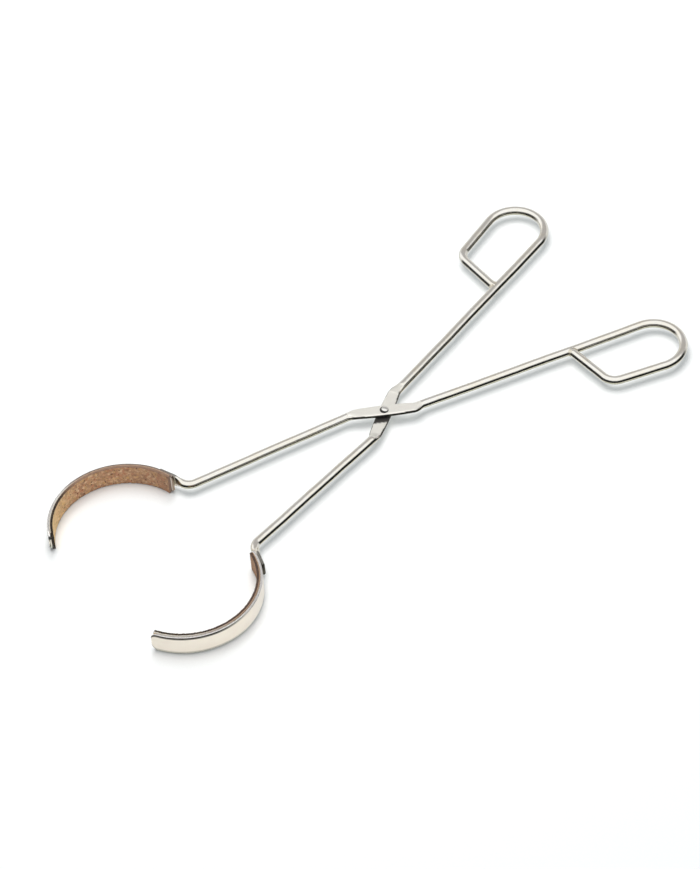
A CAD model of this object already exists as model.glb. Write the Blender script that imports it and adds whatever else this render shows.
"""Wire tongs with two cork-lined jaws, lying flat and crossing at one rivet.

The handle loops lie towards -X and the jaws towards +X; +Z is up. The jaw strips stand
upright, each an arc about a vertical axis. Only the lower half is drawn, in mm about the
rivet; the upper half is the same shape turned over, half a turn about the X axis.
"""
import math

import bpy
import numpy as np
from mathutils import Matrix, Vector
from mathutils.kdtree import KDTree


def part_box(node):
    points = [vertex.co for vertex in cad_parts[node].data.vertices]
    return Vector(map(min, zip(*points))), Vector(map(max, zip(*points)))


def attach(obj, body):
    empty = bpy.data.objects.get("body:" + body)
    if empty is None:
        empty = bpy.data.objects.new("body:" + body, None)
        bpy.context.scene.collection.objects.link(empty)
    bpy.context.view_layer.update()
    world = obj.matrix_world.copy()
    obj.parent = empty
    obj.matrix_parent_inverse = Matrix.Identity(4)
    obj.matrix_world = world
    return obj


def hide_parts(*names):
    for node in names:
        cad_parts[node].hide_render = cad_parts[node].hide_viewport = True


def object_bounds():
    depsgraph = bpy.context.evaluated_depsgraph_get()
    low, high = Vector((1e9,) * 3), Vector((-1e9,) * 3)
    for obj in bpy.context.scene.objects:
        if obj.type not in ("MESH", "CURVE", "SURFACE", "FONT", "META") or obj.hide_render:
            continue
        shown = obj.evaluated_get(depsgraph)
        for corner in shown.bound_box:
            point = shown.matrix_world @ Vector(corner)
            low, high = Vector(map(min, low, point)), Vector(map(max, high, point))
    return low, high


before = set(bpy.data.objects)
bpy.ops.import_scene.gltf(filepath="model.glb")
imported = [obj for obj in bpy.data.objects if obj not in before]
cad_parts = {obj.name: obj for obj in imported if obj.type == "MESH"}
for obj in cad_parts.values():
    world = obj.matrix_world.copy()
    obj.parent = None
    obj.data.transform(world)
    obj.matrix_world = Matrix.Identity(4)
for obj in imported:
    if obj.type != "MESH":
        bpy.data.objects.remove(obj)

cad_box = [[float(c) for c in p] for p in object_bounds()]

# ------------------------------------------- sizes in mm, bearings in degrees from +X
rivet_low, rivet_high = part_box("pivot_rivet")
RIVET = np.array([
    (rivet_low[0] + rivet_high[0]) / 2,
    (rivet_low[1] + rivet_high[1]) / 2,
    0.0,
]) * 1000

WIRE_R = 2.0
FLAT_T = 1.95                        # thickness of the pressed leaf at the rivet
LEAF_HALF = 12.8                     # half the leaf's length
LEAF_MID, LEAF_END = 3.3, 2.85       # half widths of the leaf
FRONT_PRESS, REAR_PRESS = 4.7, 5.8   # lengths over which round wire becomes leaf
LOWER_HOLE_R, UPPER_HOLE_R = 1.25, 1.30

FLAT_A, FRONT_A, REAR_A, RETURN_A, CROSS_A = 32.8, 10.45, 15.17, 18.9, 88.26
FRONT_OFF, REAR_OFF = 6.41, 3.03     # distances of the two wire lines from the rivet
KINK_R, LOOP_R, CORNER_R = 5.5, 14.0, 7.0
LOOP_X = -118.1                      # centre of the loop's round end
CROSS_POINT = np.array([-88.6, -50.0])
CROSS_GAP = 0.4                      # cross wire's last full ring to the shank's surface

JAW = np.array([130.9, 24.1])        # axis of the jaw's arcs
CORK_R, CORK_T, CORK_W = 31.0, 1.5, 11.0
STRIP_T, STRIP_W = 1.2, 10.2
NOSE, HEEL = 3.2, 1.0                # corner radii at the strip's free and wire ends
OUT_R = CORK_R + CORK_T + STRIP_T
STRIP_TIP_A, STRIP_ROOT_A = 24.5, 170.5
CORK_TIP_A, CORK_ROOT_A = 26.3, 168.6
SEAT_A = 160.0                       # where the wire's tab meets the strip
TAB_T, TAB_W = 1.6, 7.0
TAB_FWD, TAB_BACK = 2.4, 5.6         # tab lengths either side of the seat
FILM = 0.15                          # filler between tab and strip

# Bearing, elevation and roll of the camera, and its place about the point it looks at
VIEW_AZ, VIEW_EL, VIEW_ROLL = (math.radians(a) for a in (145.744, 47.198, -5.624))
VIEW_DIST, VIEW_RIGHT, VIEW_UP = 2200.0, -15.162, -9.617
AIM_X = RIVET[0] + 0.7
SENSOR, LENS = 36, 200.41519
BACK = Vector((
    math.sin(VIEW_AZ) * math.cos(VIEW_EL),
    -math.cos(VIEW_AZ) * math.cos(VIEW_EL),
    math.sin(VIEW_EL),
))
NEAR = Vector((BACK.x, BACK.y)).normalized()    # level, towards the camera


# ------------------------------------------------------------------ plane geometry
def unit(angle):
    return np.array([math.cos(math.radians(angle)), math.sin(math.radians(angle))])


def left(direction):
    return np.array([-direction[1], direction[0]])


def meet(p, p_dir, q, q_dir):
    """Crossing point of two lines, each a point and a direction."""
    gap = q - p
    cross = p_dir[0] * q_dir[1] - p_dir[1] * q_dir[0]
    return p + p_dir * ((gap[0] * q_dir[1] - gap[1] * q_dir[0]) / cross)


def smooth(x, start, end):
    """Smooth step from 0 at start to 1 at end."""
    t = np.clip((x - start) / (end - start), 0, 1)
    return t * t * (3 - 2 * t)


def fillet(p, p_angle, q, q_angle, radius):
    """Start, end, centre and turn of the arc joining two lines in the order travelled."""
    corner = meet(p, unit(p_angle), q, unit(q_angle))
    turn = (q_angle - p_angle + 180) % 360 - 180
    tangent = radius * math.tan(math.radians(abs(turn)) / 2)
    start = corner - unit(p_angle) * tangent
    centre = start + unit(p_angle + (90 if turn > 0 else -90)) * radius
    return start, corner + unit(q_angle) * tangent, centre, turn


def ripple(rng, terms):
    """Sum of sines with random phases; each term is an amplitude and its angles."""
    return sum(amp * np.sin(angles + rng.uniform(0, 6.28)) for amp, angles in terms)


# Lines of the lower arm
FLAT_DIR, FRONT_DIR, REAR_DIR, CROSS_DIR = (
    unit(a) for a in (FLAT_A, FRONT_A, REAR_A, CROSS_A)
)
FRONT_POINT = left(FRONT_DIR) * FRONT_OFF
REAR_POINT = -left(REAR_DIR) * REAR_OFF
SEAT_DIR = unit(SEAT_A)
SEAT_POINT = JAW + SEAT_DIR * OUT_R
TAB_DIR = unit(SEAT_A - 90)
TAB_POINT = SEAT_POINT + SEAT_DIR * (FILM + TAB_T / 2)
SHANK_SIDE = -left(REAR_DIR)         # side of the rear wire the loop lies on
FOOT = meet(CROSS_POINT, CROSS_DIR, REAR_POINT, REAR_DIR)


def reach_to_shank(xy, z, sink=0.0):
    """Distance along the cross wire from a point to the rear wire's surface."""
    off = (xy - REAR_POINT) @ SHANK_SIDE
    return (off - np.sqrt(WIRE_R**2 - z * z) + sink) / -(CROSS_DIR @ SHANK_SIDE)


# ------------------------------------------------------------------ mesh from rings
def link_object(name, data):
    ob = bpy.data.objects.new(name, data)
    bpy.context.scene.collection.objects.link(ob)
    return ob


def shade_smooth(mesh):
    for face in mesh.polygons:
        face.use_smooth = True


def skin(name, rings, attributes, mirror=0, closed=False):
    """Skin rings (count x size x 3, mm about the rivet) into one object.

    Open tubes get end caps; mirror turns the piece over for the upper half.
    """
    rings = np.asarray(rings, float)
    count, size, _ = rings.shape
    points = rings.reshape(-1, 3).copy()
    if mirror:
        points[:, 1:] *= -1
    points = (points + RIVET) / 1000
    index = np.arange(count * size).reshape(count, size)
    faces = []
    for i in range(count if closed else count - 1):
        here, there = index[i], index[(i + 1) % count]
        quads = np.stack([here, np.roll(here, -1), np.roll(there, -1), there], 1)
        faces.extend(quads.tolist())
    if not closed:
        faces += [index[0][::-1].tolist(), index[-1].tolist()]
    mesh = bpy.data.meshes.new(name)
    mesh.from_pydata(points.tolist(), [], faces)

    # outward winding, judged from the volume the faces enclose
    mesh.calc_loop_triangles()
    tri = np.array([tuple(t.vertices) for t in mesh.loop_triangles])
    normals = np.cross(points[tri[:, 1]], points[tri[:, 2]])
    if np.einsum("ij,ij->i", points[tri[:, 0]], normals).sum() < 0:
        mesh.flip_normals()

    for key, values in attributes.items():
        values = np.asarray(values, np.float32).reshape(len(points), -1)
        scalar = values.shape[1] == 1
        kind, field = ("FLOAT", "value") if scalar else ("FLOAT_VECTOR", "vector")
        mesh.attributes.new(key, kind, "POINT").data.foreach_set(field, values.ravel())
    shade_smooth(mesh)
    mesh.validate()
    return link_object(name, mesh)


# ------------------------------------------------------------------ wire arms
RING = 56                            # points round the wire
PHI = (np.arange(RING) + 0.5) / RING * 2 * math.pi
CIRCLE = np.stack([np.cos(PHI), np.sin(PHI)], 1)


def stadium(half_w, half_h):
    """Flattened round section of RING points, wide or tall."""
    wide = half_w >= half_h
    long, radius = (half_w, half_h) if wide else (half_h, half_w)
    bearing = PHI if wide else PHI - math.pi / 2
    straight = long - radius
    arc, line = math.pi * radius, 2 * straight
    total = 2 * (arc + line)
    along = ((bearing % (2 * math.pi)) / (2 * math.pi) * total + arc / 2) % total
    x, y = np.empty(RING), np.empty(RING)
    for i, d in enumerate(along):
        if d < arc:
            turn = d / radius - math.pi / 2
            x[i], y[i] = straight + radius * math.cos(turn), radius * math.sin(turn)
        elif d < arc + line:
            x[i], y[i] = straight - (d - arc), radius
        elif d < 2 * arc + line:
            turn = (d - arc - line) / radius + math.pi / 2
            x[i], y[i] = -straight + radius * math.cos(turn), radius * math.sin(turn)
        else:
            x[i], y[i] = -straight + (d - 2 * arc - line), -radius
    return np.stack([x, y] if wide else [-y, x], 1)


def straight_leg(p, q, step=1.2):
    count = max(2, int(np.linalg.norm(q - p) / step))
    return [p + (q - p) * t for t in np.linspace(0, 1, count, endpoint=False)]


def arc_leg(start, centre, turn, step=3.0):
    x, y = start - centre
    leg = []
    for t in np.linspace(0, 1, max(6, int(abs(turn) / step)), endpoint=False):
        c, s = math.cos(math.radians(turn * t)), math.sin(math.radians(turn * t))
        leg.append(centre + np.array([x * c - y * s, x * s + y * c]))
    return leg


def eased_leg(p, p_dir, q, q_dir, count=16):
    """Hermite curve leaving p along p_dir and reaching q along q_dir."""
    size = np.linalg.norm(q - p)
    return [
        p * (2 * t**3 - 3 * t**2 + 1) + p_dir * size * (t**3 - 2 * t**2 + t)
        + q * (-2 * t**3 + 3 * t**2) + q_dir * size * (t**3 - t**2)
        for t in np.linspace(0, 1, count, endpoint=False)
    ]


def build_path():
    """Middle line from the tab's tip to the loop's closing end.

    Returns its points, directions, distances travelled and the distance of each leg.
    """
    tab_end = TAB_POINT - TAB_DIR * TAB_BACK
    kink_start, kink_end, kink_centre, kink_turn = fillet(
        TAB_POINT, SEAT_A + 90, FRONT_POINT, FRONT_A + 180, KINK_R)
    leaf_front, leaf_rear = FLAT_DIR * LEAF_HALF, -FLAT_DIR * LEAF_HALF
    press_front = FRONT_POINT + FRONT_DIR * (
        (leaf_front - FRONT_POINT) @ FRONT_DIR + FRONT_PRESS)
    press_rear = REAR_POINT + REAR_DIR * ((leaf_rear - REAR_POINT) @ REAR_DIR - REAR_PRESS)
    inward = unit(REAR_A - 90)
    loop_start = REAR_POINT + REAR_DIR * (
        (LOOP_X - LOOP_R * inward[0] - REAR_POINT[0]) / REAR_DIR[0])
    loop_centre = loop_start + inward * LOOP_R
    loop_end = loop_centre + unit(RETURN_A - 90) * LOOP_R
    corner_start, corner_end, corner_centre, corner_turn = fillet(
        loop_end, RETURN_A, CROSS_POINT, CROSS_A, CORNER_R)
    cross_end = FOOT - CROSS_DIR * (WIRE_R + CROSS_GAP)
    legs = (
        ("tip", straight_leg(TAB_POINT + TAB_DIR * TAB_FWD, tab_end, 0.5)),
        ("tab_end", straight_leg(tab_end, kink_start, 0.4)),
        ("kink", arc_leg(kink_start, kink_centre, kink_turn, 3.5)),
        ("front", straight_leg(kink_end, press_front)),
        ("press_front", eased_leg(press_front, -FRONT_DIR, leaf_front, -FLAT_DIR)),
        ("leaf_front", straight_leg(leaf_front, leaf_rear, 0.8)),
        ("leaf_rear", eased_leg(leaf_rear, -FLAT_DIR, press_rear, -REAR_DIR)),
        ("press_rear", straight_leg(press_rear, loop_start)),
        ("loop", arc_leg(loop_start, loop_centre, 180.0 + (RETURN_A - REAR_A))),
        ("return", straight_leg(loop_end, corner_start)),
        ("corner", arc_leg(corner_start, corner_centre, corner_turn)),
        ("cross", straight_leg(corner_end, cross_end)),
        ("end", [cross_end]),
    )
    points, starts = [], {}
    for label, leg in legs:
        starts[label] = len(points)
        points.extend(leg)
    points = np.array(points)
    directions = np.gradient(points, axis=0)
    directions /= np.linalg.norm(directions, axis=1)[:, None]
    steps = np.linalg.norm(np.diff(points, axis=0), axis=1)
    travel = np.concatenate([[0], np.cumsum(steps)])
    return points, directions, travel, {k: travel[i] for k, i in starts.items()}


PATH, PATH_DIRS, TRAVEL, LEG_AT = build_path()


def wire_section(leaf, tab, from_mid):
    """Round wire blended into the pressed leaf and the upright tab."""
    section = CIRCLE * WIRE_R
    if leaf > 0:
        taper = min(1.0, (from_mid / LEAF_HALF) ** 2)
        flat = stadium(LEAF_MID - (LEAF_MID - LEAF_END) * taper, FLAT_T / 2)
        flat[:, 1] += -WIRE_R + FLAT_T / 2
        section = section * (1 - leaf) + flat * leaf
    if tab > 0:
        section = section * (1 - tab) + stadium(TAB_T / 2, TAB_W / 2) * tab
    return section


def darkness(section, cap, ring, leaf, tab, travel, crossed):
    """Dark leaf walls, tab brims and tab tip; also the leaf's top under the other leaf."""
    under = 0.0
    if crossed:
        off = np.abs(ring[:, :2] @ left(unit(-FLAT_A)))
        near_rivet = 1 - smooth(np.hypot(ring[:, 0], ring[:, 1]), 8.6, 9.4)
        under = (1 - smooth(off, 5.7, 6.3)) * near_rivet * (section[:, 1] > -0.5) * 0.98
    walls = np.where(cap, 0, smooth(leaf, 0.35, 0.95) * 0.92)
    brim = np.abs(section[:, 1]) > TAB_W / 2 - 0.35
    tab_dark = tab * np.where(brim, 0.7, 1 - smooth(travel, 1.0, 1.9))
    return np.maximum(under, np.maximum(walls, tab_dark))


def tab_tip_rings(first, centre, side):
    """Three shrinking rings that round the tab's pressed end."""
    side = np.append(side, 0)
    across = (first - np.append(centre, 0.0)) @ side
    rings = []
    for forward, scale in ((0.0, 0.80), (-0.04, 0.90), (-0.13, 0.965)):
        ring = first - np.outer(across, side) * (1 - scale)
        ring[:, 2] *= 1 - (1 - scale) * 0.2
        rings.append(ring + np.append(TAB_DIR, 0) * forward)
    return rings


def coped_ring(last):
    """The last ring run on along the cross wire to just inside the shank."""
    ring = last.copy()
    limit = WIRE_R * math.sqrt(0.98)
    reach = reach_to_shank(ring[:, :2], np.clip(ring[:, 2], -limit, limit), sink=0.08)
    ring[:, :2] += reach[:, None] * CROSS_DIR
    return ring


def wire_arm(name, mirror, seed):
    rng = np.random.default_rng(seed)
    sides = left(PATH_DIRS.T).T
    mid = (LEG_AT["leaf_front"] + LEG_AT["leaf_rear"]) / 2
    kink, total = LEG_AT["kink"], TRAVEL[-1]
    tabs = 1 - smooth(TRAVEL, LEG_AT["tab_end"] - 0.8, kink + 0.8)
    leaves = smooth(TRAVEL, LEG_AT["press_front"] - 0.2, LEG_AT["leaf_front"] + 0.1) * (
        1 - smooth(TRAVEL, LEG_AT["leaf_rear"] - 0.1, LEG_AT["press_rear"] + 0.2))

    # the hand-bent wire is never quite straight: amplitudes and wavelengths
    free = smooth(TRAVEL, kink + 2, kink + 14) * (
        1 - smooth(TRAVEL, total - 12, total - 4)) * (1 - leaves)
    level_waves = ((0.055, 61.0), (0.03, 27.0), (0.012, 11.0), (0.006, 6.1))
    height_waves = ((0.03, 47.0), (0.012, 17.0))
    sway, lift = (
        ripple(rng, ((amp, 2 * math.pi * TRAVEL / wave) for amp, wave in waves)) * free
        for waves in (level_waves, height_waves)
    )
    path = PATH + sides * sway[:, None]

    rings, leafy, place, dull, steep = [], [], [], [], []
    for i, travel in enumerate(TRAVEL):
        leaf, tab = leaves[i], tabs[i]
        section = wire_section(leaf, tab, travel - mid)
        xy = path[i] + sides[i] * section[:, :1]
        ring = np.column_stack([xy, section[:, 1] + lift[i]])
        rings.append(ring)
        # pressed faces are satin, the walls round them dark
        height = np.abs(section[:, 1] - section[:, 1].mean())
        cap = height > 0.80 * height.max()
        leafy.append(np.where(cap, leaf, 0.0))
        crossed = not mirror and leaf > 0.5 and travel < mid
        dull.append(darkness(section, cap, ring, leaf, tab, travel, crossed))
        place.append(np.column_stack([np.full(RING, travel + 500 * mirror), section]))
        rear = float(travel > mid and not mirror)
        ramp = smooth(leaf, 0.03, 0.12) * (1 - smooth(leaf, 0.93, 0.995))
        steep.append(np.full(RING, rear * ramp))

    tip = tab_tip_rings(rings[0], path[0], sides[0])
    rings[0] = rings[0] - np.append(TAB_DIR, 0) * 0.3
    rings = tip + rings + [coped_ring(rings[-1])]
    return skin(name, rings, {
        "leafy": [leafy[0]] * 3 + leafy + [leafy[-1]],
        "wp": [place[0]] * 3 + place + [place[-1] + np.array([1.0, 0, 0])],
        "dull": [np.full(RING, 0.95)] * 3 + dull + [dull[-1]],
        "steep": [steep[0]] * 3 + steep + [steep[-1]],
    }, mirror)


def punch(ob, radius):
    """Cut the rivet hole through the leaf and mark its rims sharp."""
    bpy.ops.mesh.primitive_cylinder_add(
        vertices=48, radius=radius / 1000, depth=0.02, location=tuple(RIVET / 1000))
    tool = bpy.context.object
    cut = ob.modifiers.new("hole", "BOOLEAN")
    cut.operation = "DIFFERENCE"
    cut.solver = "EXACT"
    cut.object = tool
    depsgraph = bpy.context.evaluated_depsgraph_get()
    mesh = bpy.data.meshes.new_from_object(ob.evaluated_get(depsgraph))
    ob.modifiers.clear()
    old = ob.data
    ob.data = mesh
    mesh.name = old.name
    bpy.data.meshes.remove(old)
    bpy.data.objects.remove(tool)
    shade_smooth(mesh)
    sharp = mesh.attributes.get("sharp_edge") or mesh.attributes.new(
        "sharp_edge", "BOOLEAN", "EDGE")
    ends = np.array([tuple(e.vertices) for e in mesh.edges])
    points = np.array([tuple(v.co) for v in mesh.vertices]) * 1000 - RIVET
    on_hole = np.abs(np.hypot(points[:, 0], points[:, 1])[ends] - radius) < 0.02
    level = np.abs(points[ends[:, 0], 2] - points[ends[:, 1], 2]) < 0.01
    sharp.data.foreach_set("value", on_hole.all(1) & level)


# ------------------------------------------------------------------ jaws
def rounded_section(half_w, half_h, radius, tall_steps, wide_steps, corner_steps):
    """Rounded rectangle, counter-clockwise from the foot of its right side."""
    radius = min(radius, half_w * 0.98, half_h * 0.98)
    w, h = half_w - radius, half_h - radius
    # per side: start, end, steps, then the next corner's centre
    sides = (
        ((half_w, -h), (half_w, h), tall_steps, (w, h)),
        ((w, half_h), (-w, half_h), wide_steps, (-w, h)),
        ((-half_w, h), (-half_w, -h), tall_steps, (-w, -h)),
        ((-w, -half_h), (w, -half_h), wide_steps, (w, -h)),
    )
    points = []
    for quarter, (p, q, steps, centre) in enumerate(sides):
        for t in np.linspace(0, 1, steps, endpoint=False):
            points.append((p[0] + (q[0] - p[0]) * t, p[1] + (q[1] - p[1]) * t))
        for t in np.linspace(0, 1, corner_steps, endpoint=False):
            turn = math.radians(90 * quarter + 90 * t)
            points.append((
                centre[0] + radius * math.cos(turn),
                centre[1] + radius * math.sin(turn),
            ))
    return np.array(points)


def jaw_ring(radius, angle, z):
    return np.column_stack([
        JAW[0] + radius * math.cos(angle), JAW[1] + radius * math.sin(angle), z])


def round_off(radius, distance):
    """How far a rounded corner draws in at a distance from the end."""
    if distance >= radius:
        return 0.0
    return radius - math.sqrt(radius**2 - (radius - distance) ** 2)


def jaw_strip(name, mirror, seed):
    phase = np.random.default_rng(seed).uniform(0, 6.28, 4)
    mid_r = CORK_R + CORK_T + STRIP_T / 2
    start = math.radians(STRIP_TIP_A)
    length = mid_r * (math.radians(STRIP_ROOT_A) - start)
    # distances from the free end, closest at both ends
    stations = np.concatenate([
        np.linspace(0, 0.35, 8),
        np.linspace(0.45, NOSE, 16),
        np.arange(NOSE + 0.8, length - HEEL - 0.5, 0.8),
        np.linspace(length - HEEL, length - 0.35, 8),
        np.linspace(length - 0.3, length, 7),
    ])
    rings, place, lip, face, worn = [], [], [], [], []
    for x in stations:
        end = min(x, length - x)
        half_h = STRIP_W / 2 - round_off(NOSE, x) - round_off(HEEL, length - x)
        half_w = STRIP_T / 2 - round_off(0.3, end)
        if end < 0.3:
            half_h -= 0.12 * (1 - end / 0.3)
        section = rounded_section(half_w, half_h, 0.38, 17, 4, 7)
        across, z = section.T
        # only the outer face is uneven; the inner one is bedded on the cork
        wave = 0.035 * math.sin(x / 4.3 + phase[0]) + 0.02 * math.sin(x / 1.9 + phase[1])
        wave *= float(smooth(x, 2, 10) * smooth(length - x, 12, 20))
        dip = -abs(wave) * (0.6 + 0.4 * np.cos(z * 0.7 + phase[2]))
        radius = mid_r + across + np.where(across > 0, dip, 0)
        rings.append(jaw_ring(radius, start + x / mid_r, z))
        place.append(np.column_stack([np.full(len(section), x + 300 * mirror), section]))
        # the dark line fades towards the heel and is faint along the lower edge
        height = np.abs(z)
        fade = 1 - 0.85 * float(smooth(x / length, 0.34, 0.60))
        fade = fade * np.where(z > 0, 1.0, 0.40)
        line = smooth(height, half_h - 1.22, half_h - 0.98) * (
            1 - smooth(height, half_h - 0.10, half_h - 0.02))
        lip.append(np.where(across > half_w - 0.25, fade * line, 0))
        worn.append(np.full(len(z), mirror * float(smooth(x / length, 0.28, 0.46))))
        flat = 1 - smooth(height, half_h - 0.98, half_h - 0.72)
        face.append(flat if end > 0.3 else np.zeros(len(z)))
    return skin(name, rings, {"wp": place, "lip": lip, "leafy": face, "worn": worn}, mirror)


def granule_seeds(rng, length, pitch=1.05):
    """Jittered staggered grid, some seeds dropped and some doubled."""
    columns = np.arange(-2, length + 2, pitch)
    rows = np.arange(-8.5, 8.6, pitch)
    seeds = np.array([
        (x + (j % 2) * pitch / 2, y) for x in columns for j, y in enumerate(rows)])
    seeds = seeds + rng.uniform(-0.47, 0.47, seeds.shape) * pitch
    seeds = seeds[rng.random(len(seeds)) >= 0.22]
    extra = seeds[rng.random(len(seeds)) < 0.25]
    return np.concatenate([seeds, extra + rng.uniform(-0.45, 0.45, extra.shape)])


def nearest_granules(seeds, x, y):
    """Index of the nearest seed, and how much further off the second one is."""
    tree = KDTree(len(seeds))
    for i, seed in enumerate(seeds):
        tree.insert((seed[0], seed[1], 0), i)
    tree.balance()
    gap, index = np.empty(x.size), np.empty(x.size, int)
    for i, (px, py) in enumerate(zip(x.ravel(), y.ravel())):
        first, second = tree.find_n((px, py, 0), 2)
        gap[i] = second[2] - first[2]
        index[i] = first[1]
    return gap.reshape(x.shape), index.reshape(x.shape)


def cork_pits(rng, stations, along, around, count=150):
    """Depth, 0 to 1, of small oval pits."""
    length = stations[-1]
    pit_x = rng.uniform(0, length, count)
    pit_y = rng.uniform(-6.8, 6.8, count)
    pit_r = rng.uniform(0.16, 0.46, count)
    pits = np.zeros(along.shape)
    for x, y, r in zip(pit_x, pit_y, pit_r):
        rows = slice(*np.searchsorted(stations, [x - 1.2, x + 1.2]))
        stretch = 1.0 + 0.5 * math.sin(x * 7)
        away = np.hypot((along[rows] - x) / stretch, around[rows] - y)
        bowl = np.clip(1 - (away / r) ** 2, 0, 1) ** 0.7 * min(1.0, r / 0.3)
        pits[rows] = np.maximum(pits[rows], bowl)
    return pits


def cork_lining(name, mirror, seed):
    rng = np.random.default_rng(seed)
    mid_r = CORK_R + CORK_T / 2
    start = math.radians(CORK_TIP_A)
    length = mid_r * (math.radians(CORK_ROOT_A) - start)
    count = int(length / 0.16)
    stations = np.linspace(0, length, count)
    base = rounded_section(CORK_T / 2, CORK_W / 2, 0.12, 66, 9, 3)
    across, height = base[:, 0], np.abs(base[:, 1])
    inner = across < -CORK_T / 2 + 0.13
    edge = height > CORK_W / 2 - 0.13
    # distance round the section, so granules run on over the edges
    around = base[:, 1] + np.sign(base[:, 1]) * (across + CORK_T / 2)
    around = np.tile(around, (count, 1))
    along = np.repeat(stations[:, None], len(base), 1)

    seeds = granule_seeds(rng, length)
    tone = rng.random(len(seeds))
    hue = rng.random(len(seeds))
    sunk = rng.uniform(0, 1, len(seeds)) ** 2

    def warp(a, b, frequency, phase):
        return np.sin(a * frequency + phase) * np.cos(b * frequency * 1.13 + phase * 1.7)

    gap, granule = nearest_granules(
        seeds,
        along + 0.16 * warp(along, around, 3.1, 0.4) + 0.09 * warp(around, along, 7.3, 2.0),
        around + 0.16 * warp(around, along, 2.7, 1.3) + 0.09 * warp(along, around, 6.4, 0.9),
    )
    pit = cork_pits(rng, stations, along, around)
    seams = 0.13 * np.exp(-((gap / 0.13) ** 2))
    depth = seams + 0.10 * sunk[granule] * smooth(gap, 0.02, 0.4) + 0.30 * pit
    # nothing sinks where the cork is glued to its strip
    depth[:, across > CORK_T / 2 - 0.1] = 0
    # the width wanders along the lining
    ragged = 0.16 + 0.13 * np.sin(stations * 1.7 + 1) * np.sin(stations * 0.61)
    ragged = np.clip(ragged + 0.08 * np.sin(stations * 4.9 + 2), 0.0, 0.5)

    rings = []
    for x, sink, narrow in zip(stations, depth, ragged):
        # granules sink outwards from the jaw's axis on the face, along z on the edges
        radius = mid_r + across + np.where(inner, np.where(edge, 0.5 * sink, sink), 0)
        z = base[:, 1] * (1 - narrow / CORK_W)
        z = np.where(edge, z - np.sign(z) * np.minimum(sink, 0.42), z)
        end = min(x, length - x)
        if end < 0.25:
            z = z * (1 - 0.02 * (1 - end / 0.25))
            radius = np.where(inner, radius + 0.10 * (1 - end / 0.25), radius)
        rings.append(jaw_ring(radius, start + x / mid_r, z))

    # towards the strip, past the burnt edge
    backing = smooth(across, 0.36, 0.50)
    sawn = smooth(height, CORK_W / 2 - 0.16, CORK_W / 2 - 0.09) * (1 - backing)
    glue = smooth(height, STRIP_W / 2 - 0.15, STRIP_W / 2 - 0.05) * backing
    ends = 1 - smooth(np.minimum(along, length - along), 0.10, 0.30)
    return skin(name, rings, {
        "tone": tone[granule],
        "hue": hue[granule],
        "seam": np.clip(1 - gap / 0.22, 0, 1),
        "pit": pit,
        "along": along / length,
        "bare": mirror * smooth(along / length, 0.26, 0.44),
        "rim": np.maximum(np.tile(sawn, (count, 1)), ends),
        "glue": np.tile(glue, (count, 1)),
        "wp": np.stack([along + 200 * mirror, around, np.zeros(along.shape)], 2),
    }, mirror)


# ------------------------------------------------------------------ filler and rivet
def loop_weld(name, mirror, seed):
    """Bead round the cross wire's coped end, a fillet between two round bars."""
    rng = np.random.default_rng(seed)
    phi = np.arange(72) / 72 * 2 * math.pi
    # amplitudes and lobe counts of the bead's two uneven edges
    climb_lobes = ((0.10, 2), (0.06, 3), (0.05, 7), (0.03, 13))
    spread_lobes = ((0.08, 2), (0.06, 4), (0.04, 9), (0.02, 17))
    climb = 1.05 + ripple(rng, ((amp, lobes * phi) for amp, lobes in climb_lobes))
    spread = 0.62 + ripple(rng, ((amp, lobes * phi) for amp, lobes in spread_lobes))
    axis = np.append(FOOT - CROSS_DIR * 2.2, 0.0)

    def on_shank(angle, radius):
        """Point on the shank's surface at a radius from the cross wire's axis."""
        xy = FOOT + left(CROSS_DIR) * (radius * math.cos(angle))
        z = max(-WIRE_R * 0.97, min(WIRE_R * 0.97, radius * math.sin(angle)))
        return np.append(xy + CROSS_DIR * reach_to_shank(xy, z), z)

    rings = []
    for i, angle in enumerate(phi):
        root = on_shank(angle, WIRE_R)
        top = root - np.append(CROSS_DIR, 0) * climb[i]
        base = on_shank(angle, WIRE_R + spread[i])
        pull = root * 0.55 + (top + base) / 2 * 0.45
        outer = [
            (1 - t) ** 2 * top + 2 * t * (1 - t) * pull + t**2 * base
            for t in np.linspace(0, 1, 9)
        ]
        hidden = [
            (top * (1 - t) + base * t) * 0.72 + axis * 0.28 for t in (0.85, 0.5, 0.15)]
        rings.append(outer + hidden)
    place = [[[i * 0.2, j * 0.2, 0] for j in range(12)] for i in range(72)]
    return skin(name, rings, {"wp": place}, mirror, closed=True)


def tab_braze(name, mirror, phase):
    """Filler in the wedge between tab and strip, its edges drawn in."""
    rings, place = [], []
    for x in np.linspace(-(TAB_BACK - 0.5), TAB_FWD - 0.5, 40):
        back = OUT_R - math.sqrt(OUT_R**2 - x * x)
        seat = SEAT_POINT + TAB_DIR * x
        on_strip, on_tab = seat - SEAT_DIR * back, seat + SEAT_DIR * FILM
        half_h = 2.86 + 0.10 * math.sin(x * 2.3 + phase) + 0.05 * math.sin(x * 6.1)
        ring = []
        for sign in (1, -1):
            for k in range(9):
                t = k / 8 if sign > 0 else 1 - k / 8
                z = half_h - 0.28 * math.sin(math.pi * t) * min(1, back + 0.2)
                ring.append([*(on_strip * (1 - t) + on_tab * t), sign * z])
        rings.append(ring)
        place.append([[x, j * 0.1, 0] for j in range(18)])
    return skin(name, rings, {"wp": place}, mirror)


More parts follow.
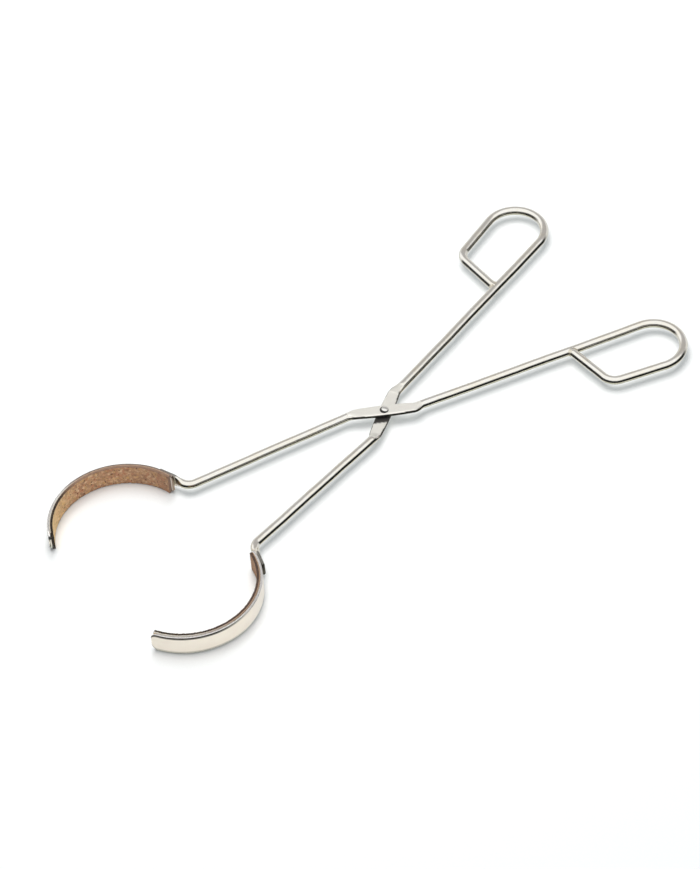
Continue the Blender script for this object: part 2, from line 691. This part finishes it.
# Rivet outline from the head's crown down to the tail: radius, z
RIVET_PROFILE = [
    (0.0, 3.1),
    *((1.62 * t, 3.1 - 0.42 * t**2.2) for t in np.linspace(0.08, 1, 14)),
    (1.74, 2.60), (1.84, 2.50), (1.93, 2.38), (2.01, 2.26), (2.06, 2.18),
    (2.08, 2.12), (2.10, 2.07), (2.08, 2.03), (2.00, 2.006), (1.6, 2.0), (1.25, 2.0),
    *((1.25, z) for z in np.linspace(1.8, -1.8, 7)),
    (1.25, -2.0), (1.7, -2.0), (2.04, -2.003), (2.09, -2.03), (2.10, -2.10), (2.02, -2.22),
    *((2.02 * t, -2.22 - 0.78 * (1 - t**2.6)) for t in np.linspace(0.9, 0.12, 10)),
]


def domed_rivet(name):
    """Turned rivet: domed head above, hammered tail below."""
    phi = np.arange(96) / 96 * 2 * math.pi
    rng = np.random.default_rng(77)
    # radius, bearing and width of each hammer mark
    dents = [
        (rng.uniform(0.3, 1.5), rng.uniform(0, 6.28), rng.uniform(0.3, 0.6))
        for _ in range(14)
    ]
    rings = []
    for radius, height in RIVET_PROFILE:
        x, y, z = radius * np.cos(phi), radius * np.sin(phi), np.full(96, height)
        if height < -2.15:
            for dent_r, bearing, width in dents:
                away = np.hypot(
                    x - dent_r * math.cos(bearing), y - dent_r * math.sin(bearing))
                z = z + 0.07 * np.exp(-((away / width) ** 2))
        rings.append(np.column_stack([x, y, z]))
    # the crown's first ring is a tiny circle, not one point
    rings[0][:, :2] = np.column_stack([np.cos(phi), np.sin(phi)]) * 0.02
    x, y, z = np.moveaxis(np.array(rings), 2, 0)
    radius = np.hypot(x, y)
    head_foot = smooth(radius + 0.24 * (x * 0.83 - y * 0.56), 1.46, 1.66)
    foot = np.where(z > 0, head_foot, smooth(radius, 1.95, 2.05) * 0.7)
    return skin(name, rings, {"wp": rings, "foot": foot})


# ------------------------------------------------------------------ shader helpers
class Shader:
    """Short calls for building one node tree."""

    def __init__(self, tree, output):
        self.tree = tree
        tree.nodes.clear()
        self.surface = self.node(output).inputs["Surface"]

    def node(self, kind):
        return self.tree.nodes.new(kind)

    def put(self, socket, value):
        """Link a socket's value, or set a number, or a colour without its alpha."""
        if isinstance(value, bpy.types.NodeSocket):
            self.tree.links.new(value, socket)
        else:
            socket.default_value = (*value, 1) if isinstance(value, tuple) else value

    def fill(self, node, values):
        for name, value in values.items():
            self.put(node.inputs[name], value)

    def value(self, attribute, output="Fac"):
        node = self.node("ShaderNodeAttribute")
        node.attribute_name = attribute
        return node.outputs[output]

    def place(self):
        """Place on the piece in mm: along it, then in its section."""
        return self.value("wp", "Vector")

    def math(self, operation, *values):
        node = self.node("ShaderNodeMath")
        node.operation = operation
        for socket, value in zip(node.inputs, values if len(values) > 1 else (*values, 0.0)):
            self.put(socket, value)
        return node.outputs[0]

    def times(self, a, b):
        return self.math("MULTIPLY", a, b)

    def linear(self, value, gain, base):
        return self.math("MULTIPLY_ADD", value, gain, base)

    def stretch(self, vector, factors):
        node = self.node("ShaderNodeVectorMath")
        node.operation = "MULTIPLY"
        self.put(node.inputs[0], vector)
        node.inputs[1].default_value = factors
        return node.outputs[0]

    def noise(self, vector, scale, detail, rough):
        node = self.node("ShaderNodeTexNoise")
        self.fill(node, {
            "Vector": vector, "Scale": scale, "Detail": detail, "Roughness": rough})
        return node.outputs["Fac"]

    def ramp(self, value, stops):
        """Colour ramp; each stop is a position and a grey or a colour."""
        node = self.node("ShaderNodeValToRGB")
        self.put(node.inputs["Fac"], value)
        elements = node.color_ramp.elements
        while len(elements) < len(stops):
            elements.new(0.5)
        for element, (position, color) in zip(elements, stops):
            element.position = position
            element.color = (*(color if isinstance(color, tuple) else (color,) * 3), 1)
        return node.outputs["Color"]

    def fade(self, value, start, end, low=0.0, high=1.0):
        return self.ramp(value, ((start, low), (end, high)))

    def mix(self, mask, under, over, amount=None):
        """Lay one colour over another where the mask, times amount, is 1."""
        if amount is not None:
            mask = self.times(mask, amount)
        node = self.node("ShaderNodeMix")
        node.data_type = "RGBA"
        for index, value in ((0, mask), (6, under), (7, over)):
            self.put(node.inputs[index], value)
        return node.outputs[2]

    def mix_numbers(self, mask, under, over):
        node = self.node("ShaderNodeMix")
        node.data_type = "FLOAT"
        for index, value in ((0, mask), (2, under), (3, over)):
            self.put(node.inputs[index], value)
        return node.outputs[0]

    def bump(self, height, strength, distance, normal=None):
        node = self.node("ShaderNodeBump")
        self.fill(node, {"Strength": strength, "Distance": distance, "Height": height})
        if normal is not None:
            self.put(node.inputs["Normal"], normal)
        return node.outputs["Normal"]


def principled(name, metallic=0.0):
    """New material with its shader and principled node."""
    material = bpy.data.materials.new(name)
    material.use_nodes = True
    n = Shader(material.node_tree, "ShaderNodeOutputMaterial")
    bsdf = n.node("ShaderNodeBsdfPrincipled")
    bsdf.inputs["Metallic"].default_value = metallic
    n.put(n.surface, bsdf.outputs["BSDF"])
    return material, n, bsdf


def view_split(n, direction, sign):
    """Parts of a direction: x, y, how far it faces the camera, and its elevation."""
    split = n.node("ShaderNodeSeparateXYZ")
    n.put(split.inputs[0], direction)
    x, y, z = split.outputs
    near = n.math("ADD", n.times(x, sign * NEAR.x), n.times(y, sign * NEAR.y))
    level_squared = n.math("SUBTRACT", 1.0, n.math("POWER", z, 2.0))
    level = n.math("SQRT", n.math("MAXIMUM", level_squared, 1e-4))
    facing = n.linear(n.math("DIVIDE", near, level), gain=0.5, base=0.5)
    elevation = n.math("DIVIDE", n.math("ARCSINE", z), math.pi / 2)
    return x, y, n.fade(facing, start=0.29, end=0.44), elevation


# ------------------------------------------------------------------ materials
def wire_material():
    """Bright nickel with drawn streaks; the pressed leaf is satin, its walls dark."""
    material, n, bsdf = principled("nickel_wire", metallic=1.0)
    bright, warm, drawn = (0.80, 0.785, 0.75), (0.792, 0.749675, 0.66), (0.688, 0.6751, 0.645)
    tarnish, dark = (0.42, 0.38, 0.33), (0.045, 0.042, 0.040)
    satin_low, satin_high, satin_steep = (
        (0.79, 0.765, 0.715), (0.885, 0.86, 0.805), (0.60, 0.58, 0.54))
    place = n.place()
    streaks = n.noise(n.stretch(place, (0.05, 1.0, 1.0)), scale=5.0, detail=4.0, rough=0.6)
    cloud = n.noise(place, scale=0.16, detail=3.0, rough=0.6)
    grain = n.noise(place, scale=9.0, detail=2.0, rough=0.5)
    fleck = n.noise(place, scale=1.7, detail=5.0, rough=0.7)
    swell = n.noise(place, scale=0.45, detail=2.0, rough=0.5)
    press = n.noise(n.stretch(place, (1.0, 1.0, 0.3)), scale=4.2, detail=5.0, rough=0.65)
    leaf = n.fade(n.value("leafy"), start=0.03, end=0.13)

    color = n.mix(n.fade(cloud, start=0.35, end=0.70), bright, warm)
    color = n.mix(n.fade(streaks, start=0.45, end=0.75), color, drawn, amount=0.35)
    color = n.mix(n.fade(fleck, start=0.62, end=0.72), color, tarnish, amount=0.3)
    satin = n.mix(n.fade(press, start=0.3, end=0.75), satin_low, satin_high)
    satin = n.mix(n.value("steep"), satin, satin_steep)
    color = n.mix(leaf, color, satin)

    rough = n.linear(cloud, gain=0.08, base=n.linear(streaks, gain=0.10, base=0.08))
    normal = n.bump(streaks, strength=0.10, distance=0.00006)
    normal = n.bump(swell, strength=0.16, distance=0.00025, normal=normal)
    normal = n.bump(n.times(press, leaf), strength=0.30, distance=0.00005, normal=normal)
    n.fill(bsdf, {
        "Base Color": n.mix(n.value("dull"), color, dark),
        "Roughness": n.mix_numbers(leaf, rough, n.linear(press, gain=0.16, base=0.30)),
        "Normal": n.bump(grain, strength=0.05, distance=0.00002, normal=normal),
        "Metallic": n.linear(leaf, gain=-0.30, base=1.0),
    })
    return material


def strip_material():
    """Satin cream faces, metallic cut edges, a dark line inside each."""
    material, n, bsdf = principled("nickel_strip")
    cream_light, cream_deep = (0.985, 0.915, 0.81), (0.97, 0.885, 0.79)
    brushed, speckled = (0.84, 0.77, 0.67), (0.55, 0.48, 0.38)
    edge_bright, edge_worn, line_dark = (
        (0.90, 0.88, 0.86), (0.36, 0.285, 0.245), (0.030, 0.027, 0.024))
    place, face = n.place(), n.value("leafy")
    brush = n.noise(n.stretch(place, (0.10, 1.0, 2.4)), scale=3.2, detail=5.0, rough=0.65)
    cloud = n.noise(place, scale=0.22, detail=3.0, rough=0.6)
    speck = n.noise(place, scale=2.6, detail=4.0, rough=0.7)
    swell = n.noise(place, scale=0.5, detail=2.0, rough=0.5)

    cream = n.mix(n.fade(cloud, start=0.35, end=0.68), cream_light, cream_deep)
    cream = n.mix(n.fade(brush, start=0.42, end=0.74), cream, brushed, amount=0.22)
    cream = n.mix(n.fade(speck, start=0.66, end=0.74, high=0.45), cream, speckled)
    color = n.mix(face, n.mix(n.value("worn"), edge_bright, edge_worn), cream)
    line = n.times(n.value("lip"), n.fade(brush, start=0.25, end=0.60, low=0.75))
    normal = n.bump(brush, strength=0.12, distance=0.00006)
    n.fill(bsdf, {
        "Base Color": n.mix(line, color, line_dark),
        "Metallic": n.linear(face, gain=-0.80, base=1.0),
        "Roughness": n.linear(face, gain=0.06, base=n.linear(brush, gain=0.14, base=0.20)),
        "Normal": n.bump(swell, strength=0.15, distance=0.0003, normal=normal),
    })
    return material


def rivet_material():
    """Bright domed crown with a dark foot."""
    material, n, bsdf = principled("nickel_rivet", metallic=1.0)
    bright, grey, dark = (0.84, 0.835, 0.81), (0.70, 0.69, 0.655), (0.030, 0.028, 0.026)
    place = n.place()
    turned = n.noise(place, scale=3.5, detail=4.0, rough=0.6)
    fleck = n.noise(place, scale=1.1, detail=3.0, rough=0.6)
    color = n.mix(n.fade(turned, start=0.35, end=0.75), bright, grey)
    shade = n.math("ADD", n.times(n.value("foot"), 0.94), n.times(fleck, 0.05))
    n.fill(bsdf, {
        "Base Color": n.mix(shade, color, dark),
        "Roughness": n.linear(turned, gain=0.12, base=0.08),
        "Normal": n.bump(turned, strength=0.15, distance=0.00005),
    })
    return material


def cork_material():
    """Granulated cork: one tone per granule, dark pits, burnt sawn edges."""
    material, n, bsdf = principled("granulated_cork")
    granule_tones = (
        (0.00, (0.16, 0.072, 0.036)), (0.16, (0.31, 0.155, 0.080)),
        (0.45, (0.52, 0.30, 0.16)), (0.78, (0.72, 0.46, 0.26)), (1.00, (0.88, 0.64, 0.40)),
    )
    red, gold, brown = (0.50, 0.16, 0.07), (0.72, 0.42, 0.13), (0.33, 0.145, 0.06)
    cell_pale, blotch_dark = (0.92, 0.64, 0.38), (0.30, 0.15, 0.085)
    seam_dark, pit_dark = (0.20, 0.085, 0.035), (0.065, 0.030, 0.018)
    speck_dark, heel_dark = (0.10, 0.045, 0.025), (0.31, 0.165, 0.105)
    tip_gold = (1.0, 0.72, 0.33)
    burn_tip, burn_heel, unburnt = (
        (0.014, 0.010, 0.009), (0.060, 0.038, 0.030), (0.225, 0.140, 0.098))
    glue_tip, glue_heel = (0.62, 0.61, 0.58), (0.36, 0.25, 0.17)

    place = n.place()
    hue, along = n.value("hue"), n.value("along")
    fine = n.noise(place, scale=3.4, detail=6.0, rough=0.7)
    blotch = n.noise(place, scale=1.05, detail=3.0, rough=0.65)
    speck = n.noise(place, scale=2.3, detail=2.0, rough=0.4)
    fray = n.noise(place, scale=1.4, detail=4.0, rough=0.7)
    cells = n.node("ShaderNodeTexVoronoi")
    n.fill(cells, {"Vector": place, "Scale": 14.0})
    cell = cells.outputs["Distance"]

    body = n.ramp(n.value("tone"), granule_tones)
    body = n.mix(n.fade(hue, start=0.72, end=0.86), body, red)
    body = n.mix(n.fade(hue, start=0.0, end=0.2, low=1.0, high=0.0), body, gold)
    body = n.mix(n.fade(fine, start=0.30, end=0.62, low=0.55, high=0.0), body, brown)
    body = n.mix(cell, body, cell_pale, amount=0.30)
    body = n.mix(n.fade(blotch, start=0.54, end=0.66, high=0.55), body, blotch_dark)
    body = n.mix(n.value("seam"), body, seam_dark, amount=0.55)
    body = n.mix(n.fade(n.value("pit"), start=0.05, end=0.45, high=0.92), body, pit_dark)
    body = n.mix(n.fade(speck, start=0.66, end=0.71, high=0.85), body, speck_dark)
    # the wire end is darker, the free end golden
    body = n.mix(n.fade(along, start=0.15, end=0.95), body, heel_dark, amount=0.46)
    tip = n.fade(along, start=0.0, end=0.42, low=1.0, high=0.0)
    body = n.mix(tip, body, tip_gold, amount=0.74)
    glue = n.mix(n.fade(along, start=0.20, end=0.50), glue_tip, glue_heel)
    body = n.mix(n.value("glue"), body, glue, amount=0.9)
    burn = n.mix(n.fade(along, start=0.20, end=0.48), burn_tip, burn_heel)
    burn = n.mix(n.value("bare"), burn, unburnt)
    burnt = n.times(n.value("rim"), n.fade(fray, start=0.30, end=0.50, low=0.78))
    height = n.math("ADD", n.times(fine, 0.7), n.times(cell, 0.5))
    n.fill(bsdf, {
        "Base Color": n.mix(burnt, body, burn),
        "Roughness": n.linear(fine, gain=0.2, base=0.72),
        "Specular IOR Level": 0.25,
        "Sheen Weight": 0.12,
        "Normal": n.bump(height, strength=0.55, distance=0.00016),
    })
    return material


def filler_material():
    """Plated filler metal, rippled and spotted."""
    material, n, bsdf = principled("plated_filler", metallic=1.0)
    pale, deep, spot = (0.74, 0.70, 0.60), (0.62, 0.56, 0.45), (0.30, 0.25, 0.19)
    place = n.place()
    waves = n.noise(n.stretch(place, (2.5, 0.6, 1.0)), scale=2.2, detail=3.0, rough=0.55)
    spots = n.noise(place, scale=5.0, detail=4.0, rough=0.65)
    color = n.mix(n.fade(waves, start=0.35, end=0.7), pale, deep)
    height = n.math("ADD", waves, n.times(spots, 0.4))
    n.fill(bsdf, {
        "Base Color": n.mix(n.fade(spots, start=0.60, end=0.72, high=0.8), color, spot),
        "Roughness": n.linear(spots, gain=0.25, base=0.20),
        "Normal": n.bump(height, strength=0.4, distance=0.00012),
    })
    return material


def floor_material():
    """Pale matte sheet; polished metal sees it as banded light and dark instead."""
    material, n, bsdf = principled("pale_sheet")
    grain_colors = ((0.3, (0.86, 0.865, 0.87)), (0.7, (0.88, 0.885, 0.89)))
    # what reflections see, from grazing rays to straight down
    bands = (
        (0.0, (0.018, 0.020, 0.018)), (0.43, (0.028, 0.030, 0.026)),
        (0.485, (1.20, 1.13, 0.99)), (0.565, (1.20, 1.13, 0.99)),
        (0.62, (0.46, 0.51, 0.41)), (1.0, (0.55, 0.60, 0.50)),
    )
    far_side = (0.82, 0.83, 0.80)
    place = n.node("ShaderNodeTexCoord").outputs["Object"]
    grain = n.noise(place, scale=900.0, detail=4.0, rough=0.6)
    n.fill(bsdf, {
        "Base Color": n.ramp(grain, grain_colors),
        "Roughness": 0.9,
        "Specular IOR Level": 0.1,
        "Normal": n.bump(grain, strength=0.05, distance=0.0001),
    })
    incoming = n.node("ShaderNodeNewGeometry").outputs["Incoming"]
    _, _, facing, steepness = view_split(n, incoming, sign=-1)
    glow = n.node("ShaderNodeEmission")
    n.put(glow.inputs["Color"], n.mix(facing, far_side, n.ramp(steepness, bands)))
    choose = n.node("ShaderNodeMixShader")
    n.put(choose.inputs[0], n.node("ShaderNodeLightPath").outputs["Is Glossy Ray"])
    n.put(choose.inputs[1], bsdf.outputs[0])
    n.put(choose.inputs[2], glow.outputs[0])
    n.put(n.surface, choose.outputs[0])
    return material


# ------------------------------------------------------------------ pieces
WIRE, STRIP, RIVET_METAL, CORK, FILLER = (
    wire_material(), strip_material(), rivet_material(), cork_material(), filler_material())

jaw_pieces = []
for side, mirror, seed, hole_r in (("lower", 0, 11, LOWER_HOLE_R), ("upper", 1, 23, UPPER_HOLE_R)):
    arm = wire_arm(side + "_wire_arm", mirror, seed)
    punch(arm, hole_r)
    # object, suffix of the CAD piece it replaces, material, slot
    for ob, node, material, slot in (
        (arm, "_arm", WIRE, "plated_wire"),
        (jaw_strip(side + "_strip_band", mirror, seed + 1), "_jaw_strip", STRIP, "plated_strip"),
        (cork_lining(side + "_cork_pad", mirror, seed + 2), "_cork_lining", CORK, "cork"),
        (tab_braze(side + "_tab_filler", mirror, seed + 3), "_jaw_braze", FILLER, "braze"),
        (loop_weld(side + "_loop_bead", mirror, seed + 4), "_handle_weld", FILLER, "braze"),
    ):
        # the punched arm may carry an empty slot from the cut
        ob.data.materials.clear()
        ob.data.materials.append(material)
        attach(ob, side + "_half")
        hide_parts(side + node)
        if slot in ("plated_strip", "cork"):
            jaw_pieces.append(ob)

rivet = domed_rivet("domed_rivet")
rivet.data.materials.append(RIVET_METAL)
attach(rivet, "lower_half")
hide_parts("pivot_rivet")


# ------------------------------------------------------------------ floor and camera
def add_floor():
    half = 1.6                               # metres
    z = cad_box[0][2] - 0.00004              # just under the lowest CAD point
    mesh = bpy.data.meshes.new("sheet")
    corners = [(-half, -half, z), (half, -half, z), (half, half, z), (-half, half, z)]
    mesh.from_pydata(corners, [], [(0, 1, 2, 3)])
    floor = link_object("sheet", mesh)
    mesh.materials.append(floor_material())


def add_camera():
    level = Vector((math.cos(VIEW_AZ), math.sin(VIEW_AZ), 0))
    upright = BACK.cross(level)
    right = level * math.cos(VIEW_ROLL) + upright * math.sin(VIEW_ROLL)
    up = level * -math.sin(VIEW_ROLL) + upright * math.cos(VIEW_ROLL)
    data = bpy.data.cameras.new("camera")
    data.lens = LENS
    data.sensor_width = data.sensor_height = SENSOR
    data.sensor_fit = "AUTO"
    data.clip_end = 50
    camera = link_object("camera", data)
    offset = right * VIEW_RIGHT + up * VIEW_UP + BACK * VIEW_DIST
    place = offset / 1000 + Vector((AIM_X, 0, 0)) / 1000
    turn = Matrix((right, up, BACK)).transposed().to_4x4()
    camera.matrix_world = Matrix.Translation(place) @ turn
    bpy.context.scene.camera = camera


add_floor()
add_camera()


# ------------------------------------------------------------------ lights and world
def area_lamp(name, toward, distance, size, energy, color, shape="SQUARE"):
    """Area lamp facing the origin, metres off; it leaves no reflection."""
    data = bpy.data.lights.new(name, "AREA")
    data.shape = shape
    data.size = size
    data.energy = energy
    data.color = color
    lamp = link_object(name, data)
    toward = Vector(toward).normalized()
    lamp.location = toward * distance
    lamp.rotation_euler = toward.to_track_quat("Z", "Y").to_euler()
    lamp.visible_glossy = False
    return lamp


def jaw_group(name):
    group = bpy.data.collections.new(name)
    for ob in jaw_pieces:
        group.objects.link(ob)
    return group


key = area_lamp(
    "key", toward=(0.0, -0.65, 5.5), distance=1.75, size=1.24,
    energy=25.5, color=(1.0, 0.98, 0.95), shape="RECTANGLE")
key.data.size_y = 1.24

# a weak lamp that lights the strips and corks only
fill = area_lamp(
    "fill", toward=(0.35, 0.80, 0.48), distance=1.1, size=0.7,
    energy=4.0, color=(1.0, 0.975, 0.955))
fill.light_linking.receiver_collection = jaw_group("fill_receivers")

# a lamp from behind, seen from the camera; only strips and corks cast its shadow
rim_lamp = area_lamp(
    "rim_lamp", toward=(-NEAR.x * 0.62, -NEAR.y * 0.62, 0.785), distance=1.75, size=0.84,
    energy=11.0, color=(0.96, 1.0, 1.0))
rim_lamp.light_linking.blocker_collection = jaw_group("rim_blockers")


def add_world():
    """Even grey light; reflections see a white tent with a grey side and a dark room."""
    white, grey, dark = (1.20, 1.20, 1.19), (0.54, 0.525, 0.52), (0.020, 0.021, 0.022)
    ambient = (0.285, 0.310, 0.325)
    grey_x, grey_y = 0.84, 0.54              # level direction away from the grey side
    world = bpy.data.worlds.new("tent")
    bpy.context.scene.world = world
    world.use_nodes = True
    n = Shader(world.node_tree, "ShaderNodeOutputWorld")
    direction = n.node("ShaderNodeTexCoord").outputs["Generated"]
    x, y, facing, elevation = view_split(n, direction, sign=1)
    room = n.times(facing, n.fade(elevation, start=0.20, end=0.38, low=1.0, high=0.0))
    away = n.math("ADD", n.times(x, grey_x), n.times(y, grey_y))
    away = n.linear(away, gain=0.5, base=0.5)
    grey_side = n.times(
        n.fade(away, start=0.232, end=0.305, low=1.0, high=0.0),
        n.fade(elevation, start=0.06, end=0.26, low=0.25))
    tent = n.mix(room, n.mix(grey_side, white, grey), dark)
    glossy = n.node("ShaderNodeLightPath").outputs["Is Glossy Ray"]
    background = n.node("ShaderNodeBackground")
    n.fill(background, {"Color": n.mix(glossy, ambient, tent), "Strength": 1.0})
    n.put(n.surface, background.outputs[0])


add_world()
bpy.context.scene.view_settings.view_transform = "Standard"
bpy.context.scene.view_settings.look = "None"
